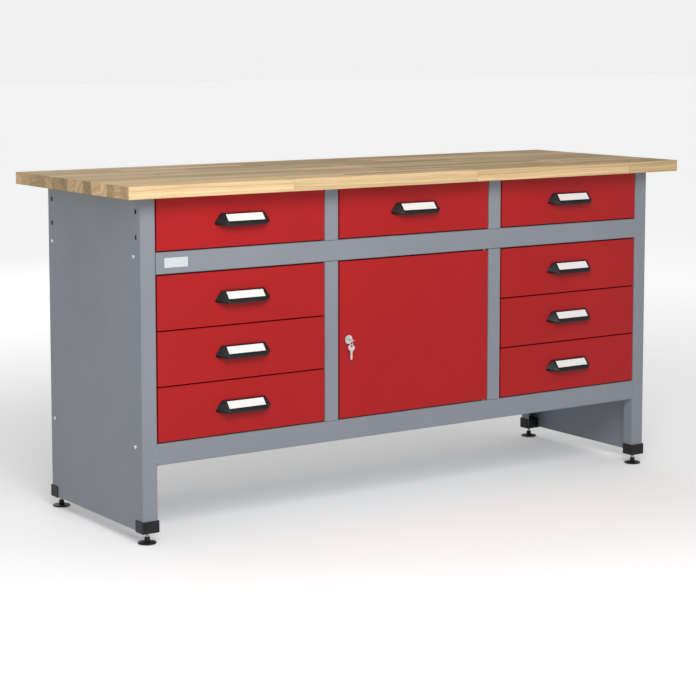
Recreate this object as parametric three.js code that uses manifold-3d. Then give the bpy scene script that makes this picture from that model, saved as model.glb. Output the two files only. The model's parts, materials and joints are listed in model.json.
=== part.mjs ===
// A workbench with drawers: a steel body of folded sheet under an edge-glued wooden worktop.
// Nine drawers run on ledges, a hinged door with a cylinder lock closes the middle cupboard,
// and four levelling feet carry the body. Millimetres, +Z up, front facing -Y,
// origin on the floor below the middle of the worktop.
import * as THREE from "three";
import { ConvexGeometry } from "three/addons/geometries/ConvexGeometry.js";
import { mergeVertices } from "three/addons/utils/BufferGeometryUtils.js";
import Module from "manifold-3d";

const wasm = await Module();
wasm.setup();

// ---- overall ----
const BENCH_WIDTH = 1700;
const BENCH_DEPTH = 600;
const BENCH_HEIGHT = 850;

// ---- worktop ----
const TOP_THICKNESS = 30;
const TOP_OVERHANG = 60;
const TOP_EASING = 1.5;
const TOP_CORNER_RADIUS = 5;

// ---- sheet metal and general fits ----
const SHEET = 1.5;
const BEND_RADIUS = 3;
const FIT = 0.3;
const BEND_STEPS = 3;
// How far a cutting solid runs past the surface that it cuts.
const OVERSHOOT = 1;

// ---- body ----
const PANEL_CLEARANCE = 30;
const POST_WIDTH = 40;
const POST_DEPTH = 34;
const DIVIDER_WIDTH = 40;
const RAIL_HEIGHT = 52;
const RAIL_DEPTH = 25;
const TOP_ROW_HEIGHT = 131;
const LEGROOM_HEIGHT = 186;
const LOWER_ROWS = 3;

// ---- slots in the side panels ----
const SLOT_WIDTH = 9;
const SLOT_HEIGHT = 11;
const SLOT_INSET = 22;
const SLOT_DROPS = [35, 95];

// ---- drawers ----
const FRONT_GAP = 3;
const FRONT_DEPTH = 16;
const DRAWER_REAR_ROOM = 56.7;
const BOX_ABOVE = 8;
const BOX_BELOW = 12;
const LIP_WIDTH = 13;
const LIP_PLAY = 1;
const LEDGE_WIDTH = 12;
const LEDGE_PLAY = 0.5;
const KEEPER_PLAY = 2;
const RACK_REAR_ROOM = 2;

// ---- drawer handle ----
const HANDLE_BASE_WIDTH = 153;
const HANDLE_TOP_WIDTH = 111;
const HANDLE_LIP_WIDTH = 106;
const HANDLE_REACH = 25;
const HANDLE_BROW = 5;
const HANDLE_TOP = 17.5;
const HANDLE_BOTTOM = -12.5;
const HANDLE_LIP_TOP = -7;
const HANDLE_WALL = 2.5;
const HANDLE_END_WALL = 4;

// ---- door, hinge and shelf ----
const DOOR_DEPTH = 18;
const DOOR_LIP = 12;
const PIN_RADIUS = 2.5;
const SWING_CLEARANCE = 0.1;
const PIN_IN_DOOR = 16;
const PIN_IN_RAIL = 8;
const SHELF_HEIGHT = 190;
const SHELF_FLANGE = 20;
const SHELF_SETBACK = 45;

// ---- lock and keys ----
const LOCK_SIDE_ROOM = 4.2;
const LOCK_ABOVE_OPENING = 200.4;
const LOCK_RIM_WIDTH = 1.5;
const LOCK_RIM_HEIGHT = 3;
const LOCK_HOUSING_RADIUS = 9.5;
const PLUG_RADIUS = 6.5;
const PLUG_TAIL = 6;
const CAM_ENGAGEMENT = 15.3;
const CAM_WIDTH = 16;
const CAM_THICKNESS = 2.5;
const CAM_GAP = 1.5;
const STRIKE_CLEARANCE = 3;
const KEY_THICKNESS = 1.4;
const KEY_BLADE_WIDTH = 5;
const KEY_BLADE_LENGTH = 20;
const KEY_NECK_WIDTH = 6.4;
const KEY_NECK_LENGTH = 2;
const KEY_BOW_RADIUS = 8.5;
const KEY_HOLE_PLAY = 1;
const KEY_HOLE_RIM = 1.8;
const KEY_STANDOFF = 1.5;
const RING_ROOM = 2.8;
const RING_WIRE_RADIUS = 0.6;
const RING_TURN = (32 / 180) * Math.PI;

// ---- feet ----
const CAP_PROUD = 2.5;
const CAP_HEIGHT = 29;
const CAP_FLOOR = 2.2;
const FOOT_INSET_SIDE = 20;
const FOOT_INSET_FRONT = 18;
const FOOT_INSET_BACK = 11;
const PAD_RADIUS = 22;
const PAD_HEIGHT = 4;
const PAD_EASING = 1.5;
const PAD_CROWN = 3;
const HUB_RADIUS = 6.5;
const HUB_HEIGHT = 16;
const HUB_FLARE = 2;
const STEM_COLLAR = 1;
const STEM_RADIUS = 4;
const STEM_IN_CAP = 22;

// ---- planes of the body and places worked out from the sizes above ----
const BODY_HALF = BENCH_WIDTH / 2 - TOP_OVERHANG;
const FRONT_Y = TOP_OVERHANG - BENCH_DEPTH / 2;
const BACK_Y = -FRONT_Y;
const UNDER_TOP = BENCH_HEIGHT - TOP_THICKNESS;
const INNER_HALF = BODY_HALF - POST_WIDTH;
const BAY_WIDTH = (2 * INNER_HALF - 2 * DIVIDER_WIDTH) / 3;
const MIDDLE_RAIL_TOP = UNDER_TOP - TOP_ROW_HEIGHT;
const LOWER_TOP = MIDDLE_RAIL_TOP - RAIL_HEIGHT;
const LOWER_BOTTOM = LEGROOM_HEIGHT + RAIL_HEIGHT;
const RAIL_BACK_Y = FRONT_Y + RAIL_DEPTH + FIT;
const BACK_PANEL_Y = BACK_Y - SHEET;
const DOOR_HALF = BAY_WIDTH / 2 - FRONT_GAP;
const DOOR_BACK_Y = FRONT_Y + DOOR_DEPTH;
const LOCK_FROM_EDGE = DOOR_LIP + LOCK_HOUSING_RADIUS + LOCK_SIDE_ROOM;
const LOCK_X = LOCK_FROM_EDGE - DOOR_HALF;
const LOCK_Z = LOWER_BOTTOM + LOCK_ABOVE_OPENING;
const CAM_Y = DOOR_BACK_Y + CAM_GAP;
const CAM_LENGTH = LOCK_FROM_EDGE + FRONT_GAP + CAM_ENGAGEMENT;
// The corner of the door turns past the divider inside the front gap.
const PIN_INSET = (FRONT_GAP - SWING_CLEARANCE) / (Math.SQRT2 - 1);
const PIN_X = DOOR_HALF - PIN_INSET;
const PIN_Y = FRONT_Y + PIN_INSET;

const BAY_PITCH = BAY_WIDTH + DIVIDER_WIDTH;
const BAYS = { left: -BAY_PITCH, centre: 0, right: BAY_PITCH };
const LOWER_NAMES = ["lower", "middle", "upper"];

// ---- materials ----
function finish(color, roughness, metalness) {
  return new THREE.MeshStandardMaterial({ color, roughness, metalness });
}
const WOOD = finish(0xd8c096, 0.55, 0);
const GREY_STEEL = finish(0x8a929c, 0.45, 0.2);
const RED_STEEL = finish(0xb9282b, 0.4, 0.15);
const BLACK_PLASTIC = finish(0x242527, 0.5, 0);
const ZINC = finish(0xc4c6c4, 0.35, 0.9);

// ---- solids ----
function toSolid(geometry) {
  const bare = geometry.clone();
  bare.deleteAttribute("normal");
  bare.deleteAttribute("uv");
  const merged = mergeVertices(bare, 1e-4);
  return new wasm.Manifold(
    new wasm.Mesh({
      numProp: 3,
      vertProperties: merged.attributes.position.array,
      triVerts: new Uint32Array(merged.index.array),
    }),
  );
}

function toGeometry(solid) {
  const mesh = solid.getMesh();
  const geometry = new THREE.BufferGeometry();
  geometry.setAttribute("position", new THREE.BufferAttribute(mesh.vertProperties, 3));
  geometry.setIndex(new THREE.BufferAttribute(mesh.triVerts, 1));
  const faceted = geometry.toNonIndexed();
  faceted.computeVertexNormals();
  return faceted;
}

// A box between two values along each axis, given in either order.
function box(x, y, z) {
  const spans = [x, y, z];
  const sizes = spans.map(([a, b]) => Math.abs(b - a));
  const middles = spans.map(([a, b]) => (a + b) / 2);
  const geometry = new THREE.BoxGeometry(...sizes);
  geometry.translate(...middles);
  return toSolid(geometry);
}

function join(first, ...others) {
  return others.reduce((sum, solid) => sum.add(solid), first);
}

function cut(first, ...others) {
  return others.reduce((rest, solid) => rest.subtract(solid), first);
}

function cylinder(radius, length, segments = 24) {
  return new THREE.CylinderGeometry(radius, radius, length, segments);
}

function uprightCylinder(radius, x, y, z) {
  const geometry = cylinder(radius, z[1] - z[0]);
  geometry.rotateX(Math.PI / 2);
  geometry.translate(x, y, (z[0] + z[1]) / 2);
  return toSolid(geometry);
}

function deepCylinder(radius, x, y, z) {
  const geometry = cylinder(radius, y[1] - y[0]);
  geometry.translate(x, (y[0] + y[1]) / 2, z);
  return toSolid(geometry);
}

// ---- folded sheet ----
// The outline of a sheet folded at right angles. The path runs along its outer face, with the
// sheet on the left of the path, and every bend turns left.
function foldedOutline(path, thickness, radius) {
  const directions = path.slice(1).map((p, i) => p.clone().sub(path[i]).normalize());
  const left = directions.map((d) => new THREE.Vector2(-d.y, d.x));
  const outer = [path[0]];
  const inner = [path[0].clone().addScaledVector(left[0], thickness)];
  directions.slice(1).forEach((next, i) => {
    const corner = path[i + 1];
    const centre = corner.clone();
    centre.addScaledVector(directions[i], -radius).addScaledVector(left[i], radius);
    for (let k = 0; k <= BEND_STEPS; k++) {
      const angle = ((k / BEND_STEPS) * Math.PI) / 2;
      const spoke = left[i].clone().multiplyScalar(-Math.cos(angle));
      spoke.addScaledVector(directions[i], Math.sin(angle));
      outer.push(centre.clone().addScaledVector(spoke, radius));
      inner.push(centre.clone().addScaledVector(spoke, radius - thickness));
    }
  });
  const last = path[path.length - 1];
  outer.push(last);
  inner.push(last.clone().addScaledVector(left[left.length - 1], thickness));
  return outer.concat(inner.reverse());
}

function extrude(points, length) {
  return new THREE.ExtrudeGeometry(new THREE.Shape(points), { depth: length, bevelEnabled: false });
}

// Turns a profile drawn in (Y, Z) so that its length runs along +X.
function alongX(geometry) {
  const turn = new THREE.Matrix4().makeBasis(
    new THREE.Vector3(0, 1, 0),
    new THREE.Vector3(0, 0, 1),
    new THREE.Vector3(1, 0, 0),
  );
  return geometry.applyMatrix4(turn);
}

function points(...pairs) {
  return pairs.map(([x, y]) => new THREE.Vector2(x, y));
}

// ---- the assembly ----
const bench = new THREE.Group();
bench.name = "workbench_with_drawers";

function addPart(name, solid, material) {
  const mesh = new THREE.Mesh(toGeometry(solid), material);
  mesh.name = name;
  bench.add(mesh);
}

// ---- worktop ----
function worktop() {
  const halfWidth = BENCH_WIDTH / 2 - TOP_EASING;
  const halfDepth = BENCH_DEPTH / 2 - TOP_EASING;
  const r = TOP_CORNER_RADIUS - TOP_EASING;
  const outline = new THREE.Shape();
  outline.absarc(halfWidth - r, halfDepth - r, r, 0, Math.PI / 2);
  outline.absarc(r - halfWidth, halfDepth - r, r, Math.PI / 2, Math.PI);
  outline.absarc(r - halfWidth, r - halfDepth, r, Math.PI, 1.5 * Math.PI);
  outline.absarc(halfWidth - r, r - halfDepth, r, 1.5 * Math.PI, 2 * Math.PI);
  const geometry = new THREE.ExtrudeGeometry(outline, {
    depth: TOP_THICKNESS - 2 * TOP_EASING,
    curveSegments: 4,
    bevelSize: TOP_EASING,
    bevelThickness: TOP_EASING,
    bevelSegments: 2,
  });
  geometry.translate(0, 0, UNDER_TOP + TOP_EASING);
  return toSolid(geometry);
}

// ---- side panels, each with its two posts folded from the same sheet ----
function sidePanel(side) {
  const inner = -INNER_HALF;
  const outer = -BODY_HALF;
  const path = points(
    [inner, BACK_Y - POST_DEPTH],
    [inner, BACK_Y],
    [outer, BACK_Y],
    [outer, FRONT_Y],
    [inner, FRONT_Y],
    [inner, FRONT_Y + POST_DEPTH],
  );
  const outline = foldedOutline(path, SHEET, BEND_RADIUS);
  outline.forEach((p) => (p.x *= -side));
  const geometry = extrude(outline, UNDER_TOP - FIT - PANEL_CLEARANCE);
  geometry.translate(0, 0, PANEL_CLEARANCE);
  const slots = [FRONT_Y + SLOT_INSET, BACK_Y - SLOT_INSET].flatMap((y) =>
    SLOT_DROPS.map((drop) =>
      box(
        [side * (BODY_HALF - BEND_RADIUS), side * (BODY_HALF + OVERSHOOT)],
        [y - SLOT_WIDTH / 2, y + SLOT_WIDTH / 2],
        [UNDER_TOP - drop - SLOT_HEIGHT / 2, UNDER_TOP - drop + SLOT_HEIGHT / 2],
      ),
    ),
  );
  return cut(toSolid(geometry), ...slots);
}

// A hole for the door's pins, right through between two heights.
function pinHole(low, high) {
  return uprightCylinder(PIN_RADIUS + FIT, PIN_X, PIN_Y, [low - OVERSHOOT, high + OVERSHOOT]);
}

// ---- cross rails, folded to a channel that opens backwards ----
function frontRail(bottom) {
  const top = bottom + RAIL_HEIGHT;
  const back = FRONT_Y + RAIL_DEPTH;
  const path = points([back, top], [FRONT_Y, top], [FRONT_Y, bottom], [back, bottom]);
  const outline = foldedOutline(path, SHEET, BEND_RADIUS);
  const length = 2 * (INNER_HALF - FIT);
  const geometry = alongX(extrude(outline, length));
  geometry.translate(-length / 2, 0, 0);
  return toSolid(geometry);
}

function bottomRail() {
  return cut(frontRail(LEGROOM_HEIGHT), pinHole(LOWER_BOTTOM - SHEET, LOWER_BOTTOM));
}

function middleRail() {
  return cut(frontRail(LOWER_TOP), pinHole(LOWER_TOP, LOWER_TOP + SHEET));
}

// ---- dividers: a channel open at the back, whose front face is a middle post ----
// The middle rail runs through them, and a tongue of each wall stands inside the rail.
function divider(x, hasStrike) {
  const half = DIVIDER_WIDTH / 2;
  const back = BACK_PANEL_Y - FIT;
  const path = points([x - half, back], [x - half, FRONT_Y], [x + half, FRONT_Y], [x + half, back]);
  const bottom = LOWER_BOTTOM + FIT;
  const geometry = extrude(foldedOutline(path, SHEET, BEND_RADIUS), UNDER_TOP - FIT - bottom);
  geometry.translate(0, 0, bottom);
  const across = [x - half - OVERSHOOT, x + half + OVERSHOOT];
  const railSpace = box(
    across,
    [FRONT_Y - OVERSHOOT, RAIL_BACK_Y],
    [LOWER_TOP - FIT, MIDDLE_RAIL_TOP + FIT],
  );
  const tongue = box(
    across,
    [FRONT_Y + BEND_RADIUS, RAIL_BACK_Y + OVERSHOOT],
    [LOWER_TOP + BEND_RADIUS, MIDDLE_RAIL_TOP - BEND_RADIUS],
  );
  const body = cut(toSolid(geometry), cut(railSpace, tongue));
  if (!hasStrike) return body;
  const camTip = Math.hypot(CAM_LENGTH, CAM_WIDTH / 2);
  const sweepTop = Math.sqrt(camTip ** 2 - (LOCK_FROM_EDGE + FRONT_GAP) ** 2);
  const strike = box(
    [x + half - BEND_RADIUS, x + half + OVERSHOOT],
    [CAM_Y - STRIKE_CLEARANCE, CAM_Y + CAM_THICKNESS + STRIKE_CLEARANCE],
    [LOCK_Z - CAM_WIDTH / 2 - STRIKE_CLEARANCE, LOCK_Z + sweepTop + STRIKE_CLEARANCE],
  );
  return cut(body, strike);
}

// ---- flat panels ----
function backPanel() {
  return box(
    [-INNER_HALF + FIT, INNER_HALF - FIT],
    [BACK_PANEL_Y, BACK_Y],
    [LEGROOM_HEIGHT, UNDER_TOP - FIT],
  );
}

function floorPanel() {
  return box(
    [-INNER_HALF + FIT, INNER_HALF - FIT],
    [RAIL_BACK_Y, BACK_PANEL_Y - FIT],
    [LOWER_BOTTOM - SHEET, LOWER_BOTTOM],
  );
}

function shelf() {
  const half = BAY_WIDTH / 2 - FIT;
  const front = FRONT_Y + SHELF_SETBACK;
  const back = BACK_PANEL_Y - FIT;
  const top = LOWER_BOTTOM + SHELF_HEIGHT;
  const tray = box([-half, half], [front, back], [top - SHELF_FLANGE, top]);
  const hollow = box(
    [-half + SHEET, half - SHEET],
    [front + SHEET, back - SHEET],
    [top - SHELF_FLANGE - OVERSHOOT, top - SHEET],
  );
  return cut(tray, hollow);
}

// ---- where each drawer sits: the bay it is in and the height of its front ----
function frontSpans(bottom, height, rows) {
  const frontHeight = (height - (rows + 1) * FRONT_GAP) / rows;
  return Array.from({ length: rows }, (_, row) => {
    const low = bottom + FRONT_GAP + row * (frontHeight + FRONT_GAP);
    return [low, low + frontHeight];
  });
}

const TOP_SPAN = frontSpans(MIDDLE_RAIL_TOP, TOP_ROW_HEIGHT, 1)[0];
const LOWER_SPANS = frontSpans(LOWER_BOTTOM, LOWER_TOP - LOWER_BOTTOM, LOWER_ROWS);

function drawersIn(bay) {
  const top = [{ name: `${bay}_top`, span: TOP_SPAN }];
  if (bay === "centre") return top;
  return top.concat(LOWER_NAMES.map((row, i) => ({ name: `${bay}_${row}`, span: LOWER_SPANS[i] })));
}

// ---- runner racks: a plate with a ledge under and a keeper over the lip of each drawer ----
function runnerRack(bay, side) {
  const wall = BAYS[bay] + side * (BAY_WIDTH / 2 - FIT);
  const face = wall - side * SHEET;
  const front = RAIL_BACK_Y + FIT;
  const y = [front, BACK_PANEL_Y - RACK_REAR_ROOM];
  const drawers = drawersIn(bay);
  const bottom = bay === "centre" ? MIDDLE_RAIL_TOP : LOWER_BOTTOM;
  const plate = box([wall, face], y, [bottom + FIT, UNDER_TOP - FIT]);
  const ledges = drawers.flatMap(({ span }) => {
    const lipTop = span[1] - BOX_BELOW;
    const ledgeTop = lipTop - SHEET - LEDGE_PLAY;
    const keeperBottom = lipTop + KEEPER_PLAY;
    const x = [wall - (side * SHEET) / 2, face - side * LEDGE_WIDTH];
    const ledge = box(x, y, [ledgeTop - SHEET, ledgeTop]);
    const keeper = box(x, y, [keeperBottom, keeperBottom + SHEET]);
    return [ledge, keeper];
  });
  return join(plate, ...ledges);
}

// ---- drawers ----
const LIP_HALF = BAY_WIDTH / 2 - FIT - SHEET - LIP_PLAY;

function drawerBox(bay, span) {
  const x = BAYS[bay];
  const half = LIP_HALF - LIP_WIDTH;
  const front = FRONT_Y + SHEET + FIT;
  const back = BACK_PANEL_Y - DRAWER_REAR_ROOM;
  const lipFront = FRONT_Y + FRONT_DEPTH + FIT;
  const low = span[0] + BOX_ABOVE;
  const high = span[1] - BOX_BELOW;
  const body = box([x - half, x + half], [front, back], [low, high]);
  const lips = box([x - LIP_HALF, x + LIP_HALF], [lipFront, back], [high - SHEET, high]);
  const inside = box(
    [x - half + SHEET, x + half - SHEET],
    [front + SHEET, back - SHEET],
    [low + SHEET, high + OVERSHOOT],
  );
  return cut(join(body, lips), inside);
}

function drawerFront(bay, span) {
  const x = BAYS[bay];
  const half = BAY_WIDTH / 2 - FRONT_GAP;
  const tray = box([x - half, x + half], [FRONT_Y, FRONT_Y + FRONT_DEPTH], span);
  const hollow = box(
    [x - half + SHEET, x + half - SHEET],
    [FRONT_Y + SHEET, FRONT_Y + FRONT_DEPTH + OVERSHOOT],
    [span[0] + SHEET, span[1] - SHEET],
  );
  return cut(tray, hollow);
}

// A hull through points given as [half width, distance out from the front, height].
function mirroredHull(corners) {
  const all = corners.flatMap(([x, out, z]) => [
    new THREE.Vector3(-x, -out, z),
    new THREE.Vector3(x, -out, z),
  ]);
  return new ConvexGeometry(all);
}

// The handle slopes from its brow down to a lip, and is hollow behind the lip for the fingers.
function drawerHandle(bay, span) {
  const base = HANDLE_BASE_WIDTH / 2;
  const top = HANDLE_TOP_WIDTH / 2;
  const lip = HANDLE_LIP_WIDTH / 2;
  const shell = mirroredHull([
    [base, 0, HANDLE_BOTTOM],
    [top, 0, HANDLE_TOP],
    [top, HANDLE_BROW, HANDLE_TOP],
    [lip, HANDLE_REACH, HANDLE_LIP_TOP],
    [lip, HANDLE_REACH, HANDLE_BOTTOM],
  ]);
  const wall = HANDLE_WALL;
  const end = HANDLE_END_WALL;
  const inside = mirroredHull([
    [base - end, -OVERSHOOT, HANDLE_BOTTOM - wall],
    [top - end, -OVERSHOOT, HANDLE_TOP - wall],
    [top - end, HANDLE_BROW - wall / 2, HANDLE_TOP - wall],
    [lip - wall, HANDLE_REACH - wall, HANDLE_LIP_TOP - wall],
    [lip - wall, HANDLE_REACH - wall, HANDLE_BOTTOM - wall],
  ]);
  const place = [BAYS[bay], FRONT_Y - FIT, (span[0] + span[1]) / 2];
  shell.translate(...place);
  inside.translate(...place);
  return cut(toSolid(shell), toSolid(inside));
}

// ---- door: a folded tray with a lip round its back ----
function door() {
  const low = LOWER_BOTTOM + FRONT_GAP;
  const high = LOWER_TOP - FRONT_GAP;
  const tray = box([-DOOR_HALF, DOOR_HALF], [FRONT_Y, DOOR_BACK_Y], [low, high]);
  const hollow = box(
    [-DOOR_HALF + SHEET, DOOR_HALF - SHEET],
    [FRONT_Y + SHEET, DOOR_BACK_Y - SHEET],
    [low + SHEET, high - SHEET],
  );
  const mouth = box(
    [-DOOR_HALF + DOOR_LIP, DOOR_HALF - DOOR_LIP],
    [DOOR_BACK_Y - SHEET - OVERSHOOT, DOOR_BACK_Y + OVERSHOOT],
    [low + DOOR_LIP, high - DOOR_LIP],
  );
  const skin = [FRONT_Y - OVERSHOOT, FRONT_Y + SHEET + OVERSHOOT];
  const lockHole = deepCylinder(LOCK_HOUSING_RADIUS + FIT, LOCK_X, skin, LOCK_Z);
  return cut(tray, hollow, mouth, pinHole(low, high), lockHole);
}

function hingePin(z) {
  return uprightCylinder(PIN_RADIUS, PIN_X, PIN_Y, z);
}

// ---- lock ----
const LOCK_FACE_Y = FRONT_Y - FIT - LOCK_RIM_HEIGHT;

function lockHousing() {
  const rimBack = FRONT_Y - FIT;
  const rimRadius = LOCK_HOUSING_RADIUS + LOCK_RIM_WIDTH;
  const rim = deepCylinder(rimRadius, LOCK_X, [LOCK_FACE_Y, rimBack], LOCK_Z);
  const barrel = deepCylinder(LOCK_HOUSING_RADIUS, LOCK_X, [LOCK_FACE_Y, DOOR_BACK_Y], LOCK_Z);
  const boreY = [LOCK_FACE_Y - OVERSHOOT, DOOR_BACK_Y + OVERSHOOT];
  const bore = deepCylinder(PLUG_RADIUS + FIT, LOCK_X, boreY, LOCK_Z);
  return cut(join(rim, barrel), bore);
}

function lockPlug() {
  const plug = deepCylinder(PLUG_RADIUS, LOCK_X, [LOCK_FACE_Y, CAM_Y - FIT], LOCK_Z);
  const half = PLUG_TAIL / 2;
  const tail = box(
    [LOCK_X - half, LOCK_X + half],
    [CAM_Y - OVERSHOOT, CAM_Y + CAM_THICKNESS + OVERSHOOT],
    [LOCK_Z - half, LOCK_Z + half],
  );
  const keywayHalf = KEY_BLADE_WIDTH / 2 + FIT;
  const keyway = box(
    [LOCK_X - keywayHalf, LOCK_X + keywayHalf],
    [LOCK_FACE_Y - OVERSHOOT, LOCK_FACE_Y + KEY_BLADE_LENGTH - KEY_STANDOFF + FIT],
    [LOCK_Z - KEY_THICKNESS / 2 - FIT, LOCK_Z + KEY_THICKNESS / 2 + FIT],
  );
  return cut(join(plug, tail), keyway);
}

function lockCam() {
  const half = CAM_WIDTH / 2;
  const y = [CAM_Y, CAM_Y + CAM_THICKNESS];
  const arm = box([LOCK_X - half, LOCK_X + half], y, [LOCK_Z - half, LOCK_Z + CAM_LENGTH]);
  const hole = PLUG_TAIL / 2 + FIT;
  const socket = box(
    [LOCK_X - hole, LOCK_X + hole],
    [CAM_Y - OVERSHOOT, CAM_Y + CAM_THICKNESS + OVERSHOOT],
    [LOCK_Z - hole, LOCK_Z + hole],
  );
  return cut(arm, socket);
}

// ---- keys: drawn with the blade down the -Y of the drawing and the hole at the origin ----
// The ring leans most in the bow's hole once the key has made its quarter turn.
const RING_LEAN = Math.acos(Math.SQRT1_2 * Math.cos(RING_TURN));
const KEY_HOLE_RADIUS =
  (KEY_THICKNESS / 2) * Math.tan(RING_LEAN) + RING_WIRE_RADIUS / Math.cos(RING_LEAN) + KEY_HOLE_PLAY;
const KEY_HOLE_OFFSET = KEY_BOW_RADIUS - KEY_HOLE_RADIUS - KEY_HOLE_RIM;
const RING_RADIUS = (KEY_BOW_RADIUS + RING_ROOM) * Math.SQRT1_2;

function keyGeometry() {
  const bowCentre = -KEY_HOLE_OFFSET;
  const shoulder = bowCentre - KEY_BOW_RADIUS - KEY_NECK_LENGTH;
  const tip = shoulder - KEY_BLADE_LENGTH;
  const blade = KEY_BLADE_WIDTH / 2;
  const neck = KEY_NECK_WIDTH / 2;
  const neckAngle = Math.asin(neck / KEY_BOW_RADIUS);
  const outline = new THREE.Shape();
  outline.moveTo(-blade, shoulder);
  outline.lineTo(-blade, tip + blade);
  outline.lineTo(-blade / 2, tip);
  outline.lineTo(blade / 2, tip);
  outline.lineTo(blade, tip + blade);
  outline.lineTo(blade, shoulder);
  outline.lineTo(neck, shoulder);
  outline.absarc(0, bowCentre, KEY_BOW_RADIUS, neckAngle - Math.PI / 2, 1.5 * Math.PI - neckAngle);
  outline.lineTo(-neck, shoulder);
  const hole = new THREE.Path();
  hole.absarc(0, 0, KEY_HOLE_RADIUS, 0, 2 * Math.PI, true);
  outline.holes.push(hole);
  const geometry = new THREE.ExtrudeGeometry(outline, {
    depth: KEY_THICKNESS,
    bevelEnabled: false,
    curveSegments: 18,
  });
  return geometry.translate(0, 0, -KEY_THICKNESS / 2);
}

// The ring passes through the hole of the key in the lock, in a plane turned towards the front,
// with its centre 45 degrees below that hole: it clears the bow at every turn of the key.
const KEY_HOLE_Y =
  LOCK_FACE_Y - KEY_STANDOFF - KEY_NECK_LENGTH - KEY_BOW_RADIUS - KEY_HOLE_OFFSET;
const RING_SHIFT = RING_RADIUS * Math.SQRT1_2;
const RING_CENTRE = new THREE.Vector3(
  LOCK_X - RING_SHIFT * Math.cos(RING_TURN),
  KEY_HOLE_Y - RING_SHIFT * Math.sin(RING_TURN),
  LOCK_Z - RING_SHIFT,
);

function lockKey() {
  const geometry = keyGeometry();
  geometry.rotateZ(Math.PI);
  geometry.translate(LOCK_X, KEY_HOLE_Y, LOCK_Z);
  return toSolid(geometry);
}

function keyRing() {
  const geometry = new THREE.TorusGeometry(RING_RADIUS, RING_WIRE_RADIUS, 8, 28);
  geometry.rotateX(Math.PI / 2);
  geometry.rotateZ(RING_TURN);
  geometry.translate(...RING_CENTRE);
  return toSolid(geometry);
}

function spareKey() {
  const geometry = keyGeometry();
  geometry.rotateX(Math.PI / 2);
  geometry.rotateZ(RING_TURN - Math.PI / 2);
  geometry.translate(RING_CENTRE.x, RING_CENTRE.y, RING_CENTRE.z - RING_RADIUS);
  return toSolid(geometry);
}

// ---- feet ----
function footCentre(side, end) {
  const y = end < 0 ? FRONT_Y + FOOT_INSET_FRONT : BACK_Y - FOOT_INSET_BACK;
  return [side * (BODY_HALF - FOOT_INSET_SIDE), y];
}

// The cap wraps the end of a post: its plug fills the post, its walls stand outside it.
function footCap(side, end) {
  const bottom = PANEL_CLEARANCE - FIT - CAP_FLOOR;
  const top = bottom + CAP_HEIGHT;
  const innerY = end * (BACK_Y - POST_DEPTH);
  const shell = box(
    [side * (INNER_HALF - CAP_PROUD), side * (BODY_HALF + CAP_PROUD)],
    [innerY, end * (BACK_Y + CAP_PROUD)],
    [bottom, top],
  );
  const postSpace = box(
    [side * (INNER_HALF - FIT), side * (BODY_HALF + FIT)],
    [innerY - end, end * (BACK_Y + FIT)],
    [bottom + CAP_FLOOR, top + OVERSHOOT],
  );
  const plug = box(
    [side * (INNER_HALF + BEND_RADIUS), side * (BODY_HALF - BEND_RADIUS)],
    [innerY - end, end * (BACK_Y - BEND_RADIUS)],
    [bottom, top + OVERSHOOT],
  );
  const [x, y] = footCentre(side, end);
  const stemHole = uprightCylinder(STEM_RADIUS + FIT, x, y, [bottom - OVERSHOOT, top + 2 * OVERSHOOT]);
  return cut(shell, cut(postSpace, plug), stemHole);
}

function levellingFoot(side, end) {
  const stemTop = PANEL_CLEARANCE + STEM_IN_CAP;
  const profile = points(
    [0, 0],
    [PAD_RADIUS - PAD_EASING, 0],
    [PAD_RADIUS, PAD_EASING],
    [PAD_RADIUS, PAD_HEIGHT],
    [HUB_RADIUS + HUB_FLARE, PAD_HEIGHT + PAD_CROWN],
    [HUB_RADIUS, PAD_HEIGHT + PAD_CROWN + HUB_FLARE],
    [HUB_RADIUS, HUB_HEIGHT],
    [STEM_RADIUS, HUB_HEIGHT + STEM_COLLAR],
    [STEM_RADIUS, stemTop],
    [0, stemTop],
  );
  const geometry = new THREE.LatheGeometry(profile, 24);
  geometry.rotateX(Math.PI / 2);
  geometry.translate(...footCentre(side, end), 0);
  return toSolid(geometry);
}

// ---- build ----
const SIDES = { left: -1, right: 1 };
const ENDS = { front: -1, back: 1 };

addPart("worktop", worktop(), WOOD);
addPart("back_panel", backPanel(), GREY_STEEL);
addPart("floor_panel", floorPanel(), GREY_STEEL);
addPart("front_rail_middle", middleRail(), GREY_STEEL);
addPart("front_rail_bottom", bottomRail(), GREY_STEEL);
addPart("cupboard_shelf", shelf(), GREY_STEEL);

for (const [sideName, side] of Object.entries(SIDES)) {
  addPart(`side_panel_${sideName}`, sidePanel(side), GREY_STEEL);
  addPart(`divider_${sideName}`, divider((side * BAY_PITCH) / 2, side < 0), GREY_STEEL);
  for (const [endName, end] of Object.entries(ENDS)) {
    addPart(`foot_cap_${endName}_${sideName}`, footCap(side, end), BLACK_PLASTIC);
    addPart(`levelling_foot_${endName}_${sideName}`, levellingFoot(side, end), BLACK_PLASTIC);
  }
}

for (const bay of Object.keys(BAYS)) {
  for (const [sideName, side] of Object.entries(SIDES)) {
    addPart(`runner_rack_${bay}_bay_${sideName}`, runnerRack(bay, side), GREY_STEEL);
  }
  for (const { name, span } of drawersIn(bay)) {
    addPart(`drawer_box_${name}`, drawerBox(bay, span), GREY_STEEL);
    addPart(`drawer_front_${name}`, drawerFront(bay, span), RED_STEEL);
    addPart(`drawer_handle_${name}`, drawerHandle(bay, span), BLACK_PLASTIC);
  }
}

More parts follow.
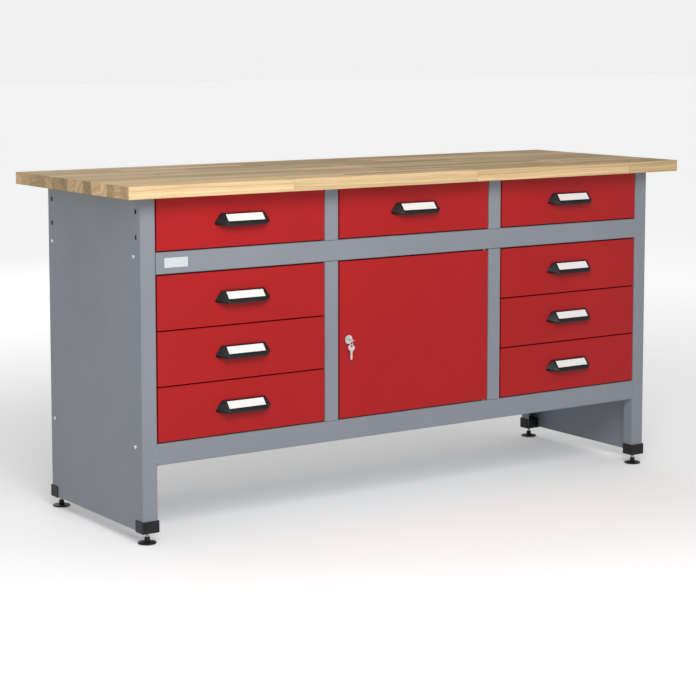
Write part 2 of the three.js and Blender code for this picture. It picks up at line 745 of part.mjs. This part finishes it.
addPart("door", door(), RED_STEEL);
addPart(
  "hinge_pin_lower",
  hingePin([LOWER_BOTTOM - PIN_IN_RAIL, LOWER_BOTTOM + FRONT_GAP + PIN_IN_DOOR]),
  ZINC,
);
addPart(
  "hinge_pin_upper",
  hingePin([LOWER_TOP - FRONT_GAP - PIN_IN_DOOR, LOWER_TOP + PIN_IN_RAIL]),
  ZINC,
);
addPart("lock_housing", lockHousing(), ZINC);
addPart("lock_plug", lockPlug(), ZINC);
addPart("lock_cam", lockCam(), ZINC);
addPart("lock_key", lockKey(), ZINC);
addPart("key_ring", keyRing(), ZINC);
addPart("spare_key", spareKey(), ZINC);

export default bench;
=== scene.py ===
import json
import math
import random

import bmesh
import bpy
from mathutils import Matrix, Vector


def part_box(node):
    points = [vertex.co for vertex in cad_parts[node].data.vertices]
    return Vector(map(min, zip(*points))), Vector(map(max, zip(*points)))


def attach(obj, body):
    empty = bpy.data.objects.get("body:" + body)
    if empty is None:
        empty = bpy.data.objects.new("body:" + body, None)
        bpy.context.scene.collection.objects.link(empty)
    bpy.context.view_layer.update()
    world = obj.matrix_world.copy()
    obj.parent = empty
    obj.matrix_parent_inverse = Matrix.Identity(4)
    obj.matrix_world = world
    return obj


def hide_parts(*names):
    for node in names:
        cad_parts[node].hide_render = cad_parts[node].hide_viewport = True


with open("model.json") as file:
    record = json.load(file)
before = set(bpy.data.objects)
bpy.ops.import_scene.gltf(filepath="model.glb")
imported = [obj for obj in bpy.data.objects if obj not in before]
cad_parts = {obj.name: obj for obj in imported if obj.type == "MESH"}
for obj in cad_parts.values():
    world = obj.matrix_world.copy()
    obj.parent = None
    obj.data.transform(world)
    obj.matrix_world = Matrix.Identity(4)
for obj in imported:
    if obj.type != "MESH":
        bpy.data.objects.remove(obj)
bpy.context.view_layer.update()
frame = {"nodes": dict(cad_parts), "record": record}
NODES = frame["nodes"]
BENCH = "bench_frame"
MM = 0.001
UP = Vector((0, 0, 1))


# ---- node materials ----
class Shader:
    """A node material, with short calls that add nodes and join them."""

    def __init__(self, name, **sockets):
        self.material = bpy.data.materials.new(name)
        self.material.use_nodes = True
        self.tree = self.material.node_tree
        self.surface = self.tree.nodes["Principled BSDF"]
        self.place = self.add("TexCoord").outputs["Object"]
        for socket, value in sockets.items():
            self.surface.inputs[socket.replace("_", " ")].default_value = value

    def add(self, kind, **settings):
        node = self.tree.nodes.new("ShaderNode" + kind)
        for key, value in settings.items():
            setattr(node, key, value)
        return node

    def feed(self, socket, value):
        if isinstance(value, bpy.types.NodeSocket):
            self.tree.links.new(value, socket)
        else:
            socket.default_value = value

    def math(self, operation, *values):
        node = self.add("Math", operation=operation)
        for socket, value in zip(node.inputs, values):
            self.feed(socket, value)
        return node.outputs[0]

    def mix(self, share, first, second, blend="MIX"):
        node = self.add("Mix", data_type="RGBA", blend_type=blend)
        self.feed(node.inputs["Factor"], share)
        self.feed(node.inputs[6], first)
        self.feed(node.inputs[7], second)
        return node.outputs[2]

    def parts(self, vector):
        node = self.add("SeparateXYZ")
        self.feed(node.inputs[0], vector)
        return node.outputs

    def stretch(self, scale, shift=None):
        node = self.add("VectorMath", operation="MULTIPLY")
        self.feed(node.inputs[0], self.place)
        node.inputs[1].default_value = scale
        if shift is None:
            return node.outputs[0]
        moved = self.add("VectorMath", operation="ADD")
        self.feed(moved.inputs[0], node.outputs[0])
        self.feed(moved.inputs[1], shift)
        return moved.outputs[0]

    def noise(self, scale, detail=2.0, vector=None):
        node = self.add("TexNoise")
        self.feed(node.inputs["Vector"], self.place if vector is None else vector)
        node.inputs["Scale"].default_value = scale
        node.inputs["Detail"].default_value = detail
        return node.outputs["Fac"]

    def span(self, value, low, high, to_low, to_high):
        node = self.add("MapRange", clamp=True)
        for socket, each in zip(node.inputs, (value, low, high, to_low, to_high)):
            self.feed(socket, each)
        return node.outputs[0]

    def bump(self, height, distance, strength, under=None):
        node = self.add("Bump")
        node.inputs["Strength"].default_value = strength
        node.inputs["Distance"].default_value = distance
        self.feed(node.inputs["Height"], height)
        if under is not None:
            self.feed(node.inputs["Normal"], under)
        return node.outputs[0]

    def set(self, **values):
        for socket, value in values.items():
            self.feed(self.surface.inputs[socket.replace("_", " ")], value)
        return self.material


def shade(colour, factor):
    return (*(min(1.0, c * factor) for c in colour), 1.0)


def powder_coat(name, colour):
    """Baked powder paint: a faint orange peel, a slow drift of tone and a fine sparkle of grain."""
    s = Shader(name, Coat_Weight=0.03, Coat_Roughness=0.2, IOR=1.5, Specular_IOR_Level=0.2)
    drift = s.noise(3.1, 3.0)
    grain = s.noise(900.0, 1.0)
    tone = s.mix(s.span(drift, 0.3, 0.7, 0.0, 1.0), shade(colour, 0.95), shade(colour, 1.05))
    tone = s.mix(s.span(grain, 0.62, 0.8, 0.0, 0.35), tone, shade(colour, 1.22))
    peel = s.bump(s.noise(260.0, 2.0), 0.00012, 0.45)
    fine = s.bump(grain, 0.00006, 0.5, peel)
    gloss = s.span(s.noise(14.0, 4.0), 0.3, 0.7, 0.40, 0.50)
    return s.set(Base_Color=tone, Roughness=gloss, Normal=fine)


def moulded_plastic(name, colour, low, high):
    """Injection-moulded plastic with a fine spark-eroded grain and slightly rubbed patches."""
    s = Shader(name, IOR=1.46, Specular_IOR_Level=0.25)
    grain = s.noise(1500.0, 2.0)
    rubbed = s.noise(38.0, 4.0)
    tone = s.mix(s.span(rubbed, 0.35, 0.7, 0.0, 1.0), shade(colour, 0.85), shade(colour, 1.35))
    gloss = s.span(rubbed, 0.3, 0.7, high, low)
    return s.set(Base_Color=tone, Roughness=gloss, Normal=s.bump(grain, 0.00005, 0.7))


def plated_steel(name, colour, low, high):
    """Zinc or nickel plating: patchy brightness and short brushed marks."""
    s = Shader(name, Metallic=1.0)
    cloud = s.noise(160.0, 4.0)
    marks = s.noise(1.0, 3.0, s.stretch((300.0, 300.0, 2600.0)))
    tone = s.mix(s.span(cloud, 0.3, 0.7, 0.0, 1.0), shade(colour, 0.86), shade(colour, 1.1))
    gloss = s.span(cloud, 0.3, 0.7, low, high)
    return s.set(Base_Color=tone, Roughness=gloss, Normal=s.bump(marks, 0.00002, 0.6))


def card_stock(name, colour, coat):
    """Smooth paper behind a clear film: faint fibres under a light gloss."""
    s = Shader(name, Coat_Weight=coat, Coat_Roughness=0.12)
    fibre = s.noise(520.0, 4.0)
    tone = s.mix(s.span(fibre, 0.3, 0.7, 0.0, 1.0), shade(colour, 0.96), shade(colour, 1.02))
    gloss = s.span(fibre, 0.3, 0.7, 0.55, 0.68)
    return s.set(Base_Color=tone, Roughness=gloss, Normal=s.bump(fibre, 0.00003, 0.5))


def solid_wood(name):
    """Edge-glued staves. Each stave has its own heart, tone and growth rings, read from its mesh."""
    s = Shader(name, IOR=1.5, Specular_IOR_Level=0.08)
    low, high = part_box("worktop")
    look = s.add("Attribute", attribute_name="stave_look")
    span = s.add("Attribute", attribute_name="stave_span")
    tone, warmth, seed = s.parts(look.outputs["Color"])
    x0, x1, y0 = s.parts(span.outputs["Color"])
    y1 = span.outputs["Alpha"]
    x, y, z = s.parts(s.place)
    shift = s.add("CombineXYZ")
    for socket, factor in zip(shift.inputs, (37.0, 11.0, 23.0)):
        s.feed(socket, s.math("MULTIPLY", seed, factor))
    shift = shift.outputs[0]
    # distance from the heart, which lies off the stave and wanders along it
    wander = s.noise(1.0, 3.0, s.stretch((1.9, 9.0, 9.0), shift))
    across = s.math("ADD", y, s.math("MULTIPLY", s.math("SUBTRACT", seed, 0.5), 0.11))
    across = s.math("ADD", across, s.math("MULTIPLY", x, s.math("MULTIPLY_ADD", tone, 0.03, -0.015)))
    heart = s.math("MULTIPLY_ADD", look.outputs["Alpha"], 0.1, 0.02)
    along = s.math("ADD", s.math("SUBTRACT", z, (low.z + high.z) / 2), heart)
    middle = s.math("ADD", s.math("MAXIMUM", y0, low.y), s.math("MINIMUM", y1, high.y))
    middle = s.math("MULTIPLY", middle, 0.5)
    across = s.math("SUBTRACT", across, middle)
    radius = s.math("SQRT", s.math("ADD", s.math("POWER", across, 2.0), s.math("POWER", along, 2.0)))
    radius = s.math("ADD", radius, s.math("MULTIPLY", wander, 0.02))
    age = s.math("MULTIPLY_ADD", radius, 330.0, s.math("MULTIPLY", seed, 90.0))
    rings = s.add("TexNoise", noise_dimensions="1D")
    bands = s.add("TexNoise", noise_dimensions="1D")
    s.feed(rings.inputs["W"], age)
    s.feed(bands.inputs["W"], age)
    rings.inputs["Scale"].default_value = 1.0
    bands.inputs["Scale"].default_value = 0.24
    ring = s.span(rings.outputs["Fac"], 0.34, 0.68, 0.0, 1.0)
    band = s.span(bands.outputs["Fac"], 0.36, 0.64, 0.84, 1.10)
    fibre = s.noise(1.0, 3.0, s.stretch((7.0, 330.0, 330.0), shift))
    fleck = s.noise(1.0, 2.0, s.stretch((55.0, 900.0, 900.0), shift))
    pale = s.mix(warmth, (0.66, 0.500, 0.285, 1.0), (0.68, 0.480, 0.275, 1.0))
    deep = s.mix(warmth, (0.46, 0.315, 0.150, 1.0), (0.44, 0.275, 0.135, 1.0))
    colour = s.mix(s.math("MULTIPLY", ring, 0.55), pale, deep)
    colour = s.mix(s.span(fibre, 0.42, 0.72, 0.0, 0.6), colour, deep)
    colour = s.mix(s.span(fleck, 0.66, 0.78, 0.0, 0.45), colour, (0.25, 0.145, 0.07, 1.0))
    level = s.math("MULTIPLY", s.span(tone, 0.0, 1.0, 0.68, 1.14), band)
    # the sawn ends are duller, more so on some staves
    sawn = s.span(s.math("ABSOLUTE", x), high.x - 0.0012, high.x - 0.0004, 0.0, 1.0)
    dulled = s.math("MULTIPLY_ADD", seed, 0.42, -0.36)
    level = s.math("MULTIPLY", level, s.math("MULTIPLY_ADD", sawn, dulled, 1.0))
    grey = s.add("CombineColor")
    for socket in grey.inputs:
        s.feed(socket, level)
    colour = s.mix(1.0, colour, grey.outputs[0], "MULTIPLY")
    # glue lines, where the stave meets its neighbours
    edge = s.math("MINIMUM", s.math("SUBTRACT", y, y0), s.math("SUBTRACT", y1, y))
    butt = s.math("MINIMUM", s.math("SUBTRACT", x, x0), s.math("SUBTRACT", x1, x))
    line = s.span(s.math("MINIMUM", edge, butt), 0.0002, 0.0009, 1.0, 0.0)
    colour = s.mix(s.math("MULTIPLY", line, 0.55), colour, (0.20, 0.115, 0.055, 1.0))
    height = s.math("SUBTRACT", s.math("MULTIPLY", fibre, 0.5), line)
    gloss = s.span(fibre, 0.3, 0.7, 0.56, 0.70)
    return s.set(Base_Color=colour, Roughness=gloss, Normal=s.bump(height, 0.00012, 0.6))


GREY = (0.196, 0.213, 0.242)
RED = (0.328, 0.0046, 0.0062)
FINISH = {
    "wood_top": solid_wood("wood_top_finish"),
    "grey_steel": powder_coat("grey_steel_finish", GREY),
    "red_steel": powder_coat("red_steel_finish", RED),
    "black_plastic": moulded_plastic("black_plastic_finish", (0.0105, 0.0105, 0.012), 0.34, 0.5),
    "zinc": plated_steel("zinc_finish", (0.74, 0.74, 0.72), 0.26, 0.42),
}
CARD = card_stock("card_finish", (0.78, 0.78, 0.77), 0.5)
LABEL = card_stock("label_finish", (0.50, 0.52, 0.54), 0.3)


# ---- meshes ----
def finish_mesh(name, work, material, body, replaces=(), sharp=35.0):
    """A piece made from a bmesh, which moves with a body of the frame."""
    mesh = bpy.data.meshes.new(name)
    bmesh.ops.recalc_face_normals(work, faces=work.faces)
    work.to_mesh(mesh)
    work.free()
    mesh.shade_smooth()
    mesh.set_sharp_from_angle(angle=math.radians(sharp))
    mesh.materials.append(material)
    piece = bpy.data.objects.new(name, mesh)
    bpy.context.scene.collection.objects.link(piece)
    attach(piece, body)
    if replaces:
        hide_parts(*replaces)
    return piece


def bevel(node, width, segments):
    """Eased edges on a node of the frame, whose corners are joined first."""
    node.modifiers.new("weld", "WELD").merge_threshold = 1e-5
    ease = node.modifiers.new("ease", "BEVEL")
    ease.width = width
    ease.segments = segments
    ease.limit_method = "ANGLE"
    ease.angle_limit = math.radians(40.0)


def turned(profile, centre, axis=UP, segments=48, wave=None):
    """A lathe form: profile is (radius, height) in millimetres from one end of the axis to the other.

    wave(angle, radius, height), in radians and metres, is the share of the radius that is kept.
    """
    work = bmesh.new()
    turn = UP.rotation_difference(Vector(axis)).to_matrix()

    def point(radius, height, angle=0.0):
        r = radius * wave(angle, radius, height) if wave else radius
        spot = Vector((r * math.cos(angle), r * math.sin(angle), height))
        return work.verts.new(Vector(centre) + turn @ spot)

    rings = []
    for radius, height in profile:
        radius, height = radius * MM, height * MM
        count = segments if radius else 1
        rings.append([point(radius, height, 2 * math.pi * k / segments) for k in range(count)])
    for low, high in zip(rings, rings[1:]):
        for k in range(segments):
            n = (k + 1) % segments
            corners = [low[k % len(low)], low[n % len(low)], high[n % len(high)], high[k % len(high)]]
            corners = list(dict.fromkeys(corners))
            if len(corners) > 2:
                work.faces.new(corners)
    return work


def slab(outline, depth, place):
    """A flat piece: a closed outline in its own plane, pushed out by depth. place maps (u, v, n)."""
    work = bmesh.new()
    low = [work.verts.new(place(u, v, 0)) for u, v in outline]
    high = [work.verts.new(place(u, v, depth)) for u, v in outline]
    work.faces.new(low)
    work.faces.new(high)
    for k in range(len(outline)):
        n = (k + 1) % len(outline)
        work.faces.new((low[k], low[n], high[n], high[k]))
    return work


def rounded(u0, v0, u1, v1, radius, steps=4):
    """The outline of a rectangle with round corners."""
    near_u, far_u = u0 + radius, u1 - radius
    near_v, far_v = v0 + radius, v1 - radius
    corners = ((far_u, far_v), (near_u, far_v), (near_u, near_v), (far_u, near_v))
    outline = []
    for quarter, (cu, cv) in enumerate(corners):
        for k in range(steps + 1):
            a = math.pi / 2 * (quarter + k / steps)
            outline.append((cu + radius * math.cos(a), cv + radius * math.sin(a)))
    return outline


# ---- worktop, made of edge-glued staves ----
# in metres: edges and faces closer than this are taken as meeting
TOUCHING = 1e-6


def staves(low, high):
    """Rows of staves along X: (x0, x1, y0, y1) of each. The front row's joints are listed."""
    dice = random.Random(41)
    widths = [0.96] + [dice.uniform(0.72, 1.28) for row in range(14)]
    scale = (high.y - low.y) / sum(widths)
    edges = [low.y + scale * sum(widths[:row]) for row in range(len(widths))] + [high.y]
    found = []
    for row, (y0, y1) in enumerate(zip(edges, edges[1:])):
        if row == 0:
            cuts = [low.x, low.x + 0.445, low.x + 1.001, low.x + 1.521, high.x]
        else:
            cuts = [low.x]
            at = low.x + dice.uniform(0.18, 0.62)
            while at < high.x - 0.16:
                cuts.append(at)
                at += dice.uniform(0.34, 0.62)
            cuts.append(high.x)
        found += [(a, b, y0, y1) for a, b in zip(cuts, cuts[1:])]
    return found


def worktop():
    low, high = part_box("worktop")
    easing, corner = 1.5 * MM, 5 * MM
    work = bmesh.new()
    bmesh.ops.create_cube(work, size=1.0)
    for v in work.verts:
        v.co = Vector((low[i] if v.co[i] < 0 else high[i] for i in range(3)))

    def on_the_rim(edge):
        tilts = {round(f.normal.z) for f in edge.link_faces}
        return len(tilts) > 1 and any(abs(f.normal.z) > 0.9 for f in edge.link_faces)

    upright = [e for e in work.edges if abs((e.verts[0].co - e.verts[1].co).z) > MM]
    bmesh.ops.bevel(work, geom=upright, offset=corner, segments=5, profile=0.5, affect="EDGES")
    rim = [e for e in work.edges if on_the_rim(e)]
    bmesh.ops.bevel(work, geom=rim, offset=easing, segments=3, profile=0.5, affect="EDGES")
    boards = staves(low, high)

    def slice_at(normal, at, faces):
        """Cuts the faces, and nothing else, along a plane."""
        edges = (e for f in faces for e in f.edges)
        corners = (v for f in faces for v in f.verts)
        parts = list(dict.fromkeys((*faces, *edges, *corners)))
        bmesh.ops.bisect_plane(work, geom=parts, plane_co=at, plane_no=normal, dist=1e-7)

    for y in sorted({round(b[3], 6) for b in boards})[:-1]:
        slice_at((0, 1, 0), (0, y, 0), list(work.faces))
    for x0, x1, y0, y1 in boards:
        if x0 > low.x + MM:
            row = [f for f in work.faces if y0 - TOUCHING < f.calc_center_median().y < y1 + TOUCHING]
            slice_at((1, 0, 0), (x0, 0, 0), row)
    dice = random.Random(7)
    # tone, warmth, grain seed and depth of the heart: drawn for each stave, chosen for the front row
    looks = [[dice.random() for channel in range(4)] for board in boards]
    looks[0] = (0.74, 0.45, 0.12, 0.3)
    looks[1] = (0.56, 0.30, 0.55, 0.5)
    looks[2] = (0.62, 0.55, 0.33, 0.2)
    looks[3] = (0.28, 0.40, 0.81, 0.6)
    span = work.loops.layers.float_color.new("stave_span")
    look = work.loops.layers.float_color.new("stave_look")

    def holds(board, at):
        x0, x1, y0, y1 = board
        return x0 <= at.x <= x1 and y0 - TOUCHING <= at.y <= y1 + TOUCHING

    # a stave's outer edges are told as a metre farther out, so that no glue line is drawn on them
    beyond = 1.0
    for f in work.faces:
        at = f.calc_center_median()
        i = next(i for i, board in enumerate(boards) if holds(board, at))
        x0, x1, y0, y1 = boards[i]
        x0 -= beyond * (x0 <= low.x)
        x1 += beyond * (x1 >= high.x)
        y0 -= beyond * (y0 <= low.y + TOUCHING)
        y1 += beyond * (y1 >= high.y - TOUCHING)
        for loop in f.loops:
            loop[span] = (x0, x1, y0, y1)
            loop[look] = looks[i]
    finish_mesh("worktop_staves", work, FINISH["wood_top"], BENCH, ["worktop"], 50.0)


worktop()


# ---- sheet metal and other nodes of the frame, with eased edges ----
SLOT_OF = {part["node"]: part["material_slot"] for part in frame["record"]["subparts"]}
SHEET_EASING = 0.3 * MM
EASING = {"drawer_front": 0.9 * MM, "door": 0.9 * MM, "drawer_handle": 0.9 * MM, "foot_cap": 1.0 * MM}
for name, node in NODES.items():
    node.data.materials.clear()
    node.data.materials.append(FINISH[SLOT_OF[name]])
    width = next((w for start, w in EASING.items() if name.startswith(start)), SHEET_EASING)
    bevel(node, width, 3 if width > SHEET_EASING else 2)


# ---- handles: moulded hoods open below, with a card behind a raised frame on the slope ----
def handle(name, drawer):
    """A hollow hood, open below and behind, with a blank card in a frame on its sloping face."""
    low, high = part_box(f"drawer_handle_{name}")
    centre = (low.x + high.x) / 2
    # one half of the hood's corners: half width, distance out from the drawer front, height
    corners = (
        (high.x - centre, 0, low.z + 3 * MM),
        (high.x - centre, 0, low.z + 9.5 * MM),
        (60.5 * MM, 0, high.z),
        (57 * MM, 5 * MM, high.z),
        (53.5 * MM, high.y - low.y, low.z + 5.5 * MM),
        (53.5 * MM, high.y - low.y, low.z),
    )
    work = bmesh.new()
    for x, out, z in corners:
        for side in (-1, 1):
            work.verts.new((centre + side * x, high.y - out, z))
    bmesh.ops.convex_hull(work, input=work.verts)
    bmesh.ops.dissolve_limit(work, angle_limit=0.02, verts=work.verts, edges=work.edges)
    work.normal_update()
    sharp = [e for e in work.edges if e.calc_face_angle() > 0.2]
    free = [e for e in sharp if min(v.co.y for v in e.verts) < high.y - MM]
    bmesh.ops.bevel(
        work, geom=free, offset=1.8 * MM, segments=4, profile=0.5, affect="EDGES", clamp_overlap=True
    )
    work.normal_update()
    hollow = [f for f in work.faces if f.normal.y > 0.99 or f.normal.z < -0.97]
    bmesh.ops.delete(work, geom=hollow, context="FACES")
    stands_for = [f"drawer_handle_{name}"]
    hood = finish_mesh(
        f"drawer_hood_{name}", work, FINISH["black_plastic"], drawer, stands_for
    )
    wall = hood.modifiers.new("wall", "SOLIDIFY")
    wall.thickness = 2.4 * MM
    wall.offset = -1
    brow = Vector((centre, high.y - 5 * MM, high.z))
    lip = Vector((centre, low.y, low.z + 5.5 * MM))
    down = (lip - brow).normalized()
    out = Vector((1, 0, 0)).cross(down).normalized()
    if out.y > 0:
        out = -out

    def place(lift):
        return lambda u, v, n: brow + Vector((u, 0, 0)) + down * v + out * (n + lift)

    card = slab(rounded(-51.6 * MM, 2.8 * MM, 51.6 * MM, 24.4 * MM, 0.6 * MM), 0.25 * MM, place(0.02 * MM))
    finish_mesh(f"drawer_card_{name}", card, CARD, drawer)
    work = bmesh.new()
    outer = rounded(-52.6 * MM, 1.8 * MM, 52.6 * MM, 25.4 * MM, 1.2 * MM)
    inner = rounded(-51.2 * MM, 3.2 * MM, 51.2 * MM, 24.0 * MM, 0.5 * MM)
    lay = place(0.02 * MM)
    loops = []
    for outline, height in ((outer, 0), (outer, 0.7), (inner, 0.9), (inner, 0)):
        loops.append([work.verts.new(lay(u, v, height * MM)) for u, v in outline])
    for a, b in zip(loops, loops[1:] + loops[:1]):
        for k in range(len(a)):
            n = (k + 1) % len(a)
            work.faces.new((a[k], a[n], b[n], b[k]))
    finish_mesh(f"card_frame_{name}", work, FINISH["black_plastic"], drawer)


DRAWERS = [name.removeprefix("drawer_box_") for name in NODES if name.startswith("drawer_box_")]
for name in DRAWERS:
    handle(name, f"drawer_{name}")


# ---- levelling feet: a ribbed pad and a threaded stem ----
# radius and height of the pad's outline, in millimetres
PAD = (
    (0, 0), (19.5, 0), (21.3, 0.5), (22, 1.6), (22, 3.4), (21.5, 4), (20.4, 4.2), (15, 5.3),
    (9.2, 6.8), (7.2, 8), (6.5, 9.6), (6.5, 15.4), (6, 16), (4.6, 16.2), (4.6, 15), (0, 15),
)
STEM_RADIUS, STEM_FOOT = 4.0, 15.2
THREAD_PITCH, THREAD_STEPS = 1.25, 8


def levelling_foot(where):
    low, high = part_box(f"levelling_foot_{where}")
    body = f"foot_{where}"
    centre = Vector(((low.x + high.x) / 2, (low.y + high.y) / 2, 0))

    def ribs(angle, radius, height):
        return 1 - 0.022 * (0.5 + 0.5 * math.cos(36 * angle)) * (radius > 21 * MM)

    pad = turned(PAD, centre, segments=144, wave=ribs)
    stands_for = [f"levelling_foot_{where}"]
    finish_mesh(f"foot_pad_{where}", pad, FINISH["black_plastic"], body, stands_for)

    def thread(angle, radius, height):
        turn = (height / (THREAD_PITCH * MM) - angle / (2 * math.pi)) % 1.0
        return 1 - 0.15 * abs(2 * turn - 1)

    step = THREAD_PITCH / THREAD_STEPS
    count = int((high.z / MM - 15.5) / step)
    heights = [STEM_FOOT + k * step for k in range(count)]
    profile = [(0, heights[0])] + [(STEM_RADIUS, h) for h in heights] + [(0, heights[-1])]
    stem = turned(profile, centre, segments=32, wave=thread)
    finish_mesh(f"foot_stem_{where}", stem, FINISH["zinc"], body, sharp=60.0)


for where in ("front_left", "front_right", "back_left", "back_right"):
    levelling_foot(where)


# ---- screws on the side panels ----
# radius and height of the head's outline, in millimetres; the last three are the hexagon socket
SCREW_HEAD = (
    (0, 0), (5, 0), (5, 0.5), (4.7, 1.3), (4, 2), (3, 2.35), (2.5, 2.4), (2.2, 2.2), (2.1, 0.9), (0, 0.7),
)


def screw(name, centre, axis):
    def socket(angle, radius, height):
        flat = math.cos(math.pi / 6) / math.cos((angle + math.pi / 6) % (math.pi / 3) - math.pi / 6)
        return flat if radius < 2.4 * MM else 1.0

    work = turned(SCREW_HEAD, centre, axis, 48, socket)
    finish_mesh(name, work, FINISH["zinc"], BENCH)


RAIL_LOW, RAIL_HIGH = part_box("front_rail_middle")
UPPER_SCREWS = RAIL_HIGH.z - 9 * MM
LOWER_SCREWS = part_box("front_rail_bottom")[1].z - 7.5 * MM
for side, sign in (("left", -1), ("right", 1)):
    low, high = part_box(f"side_panel_{side}")
    face = low.x if sign < 0 else high.x
    rows = ((low.y + 33.5 * MM, "front"), (high.y - 22.5 * MM, "back"))
    for y, end in rows:
        for z, height in ((UPPER_SCREWS, "upper"), (LOWER_SCREWS, "lower")):
            screw(f"side_screw_{side}_{end}_{height}", Vector((face, y, z)), (sign, 0, 0))


# ---- a blank label on the rail under the top drawers ----
left, base = RAIL_LOW.x + 23 * MM, RAIL_LOW.z + 15 * MM
outline = rounded(-left - 63 * MM, base, -left, base + 23 * MM, 1.5 * MM)
work = slab(outline, 0.15 * MM, lambda u, v, n: Vector((-u, RAIL_LOW.y - 0.02 * MM - n, v)))
finish_mesh("blank_label", work, LABEL, BENCH)


# ---- key ring ----
def key_ring():
    low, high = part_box("key_ring")
    centre = (low + high) / 2
    wire = 0.6 * MM
    radius = (high.z - low.z) / 2 - wire
    turn = Matrix.Rotation(math.radians(32), 3, "Z")
    work = bmesh.new()
    rings = []
    for k in range(64):
        a = 2 * math.pi * k / 64
        spoke = turn @ Vector((math.cos(a), 0, math.sin(a)))
        across = turn @ Vector((0, 1, 0))
        ring = []
        for j in range(12):
            b = 2 * math.pi * j / 12
            spot = centre + spoke * (radius + wire * math.cos(b)) + across * wire * math.sin(b)
            ring.append(work.verts.new(spot))
        rings.append(ring)
    for k in range(64):
        a, b = rings[k], rings[(k + 1) % 64]
        for j in range(12):
            n = (j + 1) % 12
            work.faces.new((a[j], a[n], b[n], b[j]))
    finish_mesh("key_ring_wire", work, FINISH["zinc"], "door", ["key_ring"], 80.0)


key_ring()


# ---- floor, light and camera ----
def floor():
    s = Shader("floor_finish", Specular_IOR_Level=0.1, Emission_Color=(1.0, 1.0, 1.0, 1.0), Roughness=0.8)
    tone = s.mix(s.noise(0.7, 3.0), (0.82, 0.82, 0.82, 1.0), (0.85, 0.85, 0.85, 1.0))
    away = s.add("VectorMath", operation="LENGTH")
    s.feed(away.inputs[0], s.place)
    # the glow of the far floor meets the white of the walls
    glow = s.span(away.outputs["Value"], 0.8, 4.5, 0.2, 0.52)
    material = s.set(Base_Color=tone, Emission_Strength=glow)
    work = bmesh.new()
    bmesh.ops.create_grid(work, x_segments=8, y_segments=8, size=40.0)
    mesh = bpy.data.meshes.new("floor")
    work.to_mesh(mesh)
    work.free()
    mesh.materials.append(material)
    piece = bpy.data.objects.new("floor", mesh)
    bpy.context.scene.collection.objects.link(piece)


floor()


def soft_light(name, place, aim, size, power):
    """A rectangular area light at place, turned to aim; size in metres, power in watts."""
    light = bpy.data.lights.new(name, "AREA")
    light.shape = "RECTANGLE"
    light.size, light.size_y = size
    light.energy = power
    lamp = bpy.data.objects.new(name, light)
    lamp.location = place
    lamp.rotation_mode = "QUATERNION"
    lamp.rotation_quaternion = (Vector(aim) - Vector(place)).to_track_quat("-Z", "Y")
    bpy.context.scene.collection.objects.link(lamp)


soft_light("key", (-1.2, -2.55, 2.15), (-0.35, -0.2, 0.5), (1.8, 1.2), 70.0)
soft_light("rear_fill", (0.5, 4.2, 2.6), (0.1, 0.0, 0.5), (2.8, 2.0), 32.0)


def studio_walls():
    """White all round, darker overhead, so that the sides of the object are lit more than its top."""
    world = bpy.data.worlds.new("studio")
    world.use_nodes = True
    tree = world.node_tree
    way = tree.nodes.new("ShaderNodeTexCoord")
    parts = tree.nodes.new("ShaderNodeSeparateXYZ")
    ramp = tree.nodes.new("ShaderNodeMapRange")
    ramp.interpolation_type = "SMOOTHSTEP"
    horizon, overhead = 0.88, 0.34
    # value, from min, from max, to min, to max
    for socket, value in zip(ramp.inputs, (0.0, 0.2, 0.6, horizon, overhead)):
        socket.default_value = value
    tree.links.new(way.outputs["Generated"], parts.inputs[0])
    tree.links.new(parts.outputs["Z"], ramp.inputs[0])
    tree.links.new(ramp.outputs[0], tree.nodes["Background"].inputs["Strength"])
    tree.nodes["Background"].inputs["Color"].default_value = (1.0, 1.0, 1.0, 1.0)
    bpy.context.scene.world = world


studio_walls()

camera = bpy.data.cameras.new("camera")
camera.sensor_width = 36.0
camera.lens = 101.063
camera.shift_y = -0.16
camera.clip_end = 100.0
eye = bpy.data.objects.new("camera", camera)
eye.location = (-2.9337, -4.2007, 1.1896)
yaw, pitch = math.radians(34.532), math.radians(5.872)
gaze = Vector((math.sin(yaw) * math.cos(pitch), math.cos(yaw) * math.cos(pitch), -math.sin(pitch)))
eye.rotation_mode = "QUATERNION"
eye.rotation_quaternion = gaze.to_track_quat("-Z", "Y")
bpy.context.scene.collection.objects.link(eye)
bpy.context.scene.camera = eye
bpy.context.scene.view_settings.view_transform = "Standard"
